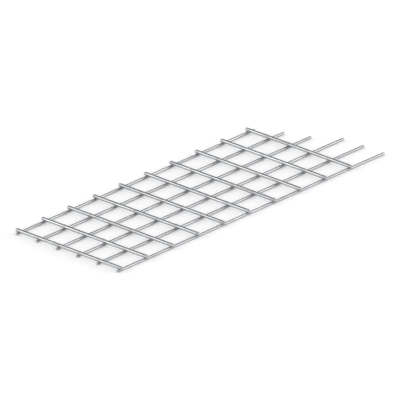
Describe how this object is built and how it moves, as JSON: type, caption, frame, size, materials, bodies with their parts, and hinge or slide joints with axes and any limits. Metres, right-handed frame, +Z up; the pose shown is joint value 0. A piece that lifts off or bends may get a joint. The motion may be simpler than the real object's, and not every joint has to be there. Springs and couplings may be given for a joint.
{
  "type": "rack cable guide",
  "caption": "Flat grid of welded steel wire that guides and holds cables in a rack, with free wire stubs at one end that are trimmed back in steps at one corner.",
  "frame": {"origin": "middle of the outline, on the surface that the grid lies on", "axes": "+X along the long wires, towards the full stubs; +Y along the cross wires, towards the trimmed stubs; +Z up, towards the cross wires"},
  "size_m": [0.525, 0.19, 0.0084],
  "materials": {
    "zinc_wire": "satin"
  },
  "bodies": {
    "root": {"wire_grid": "zinc_wire"}
  },
  "joints": []
}
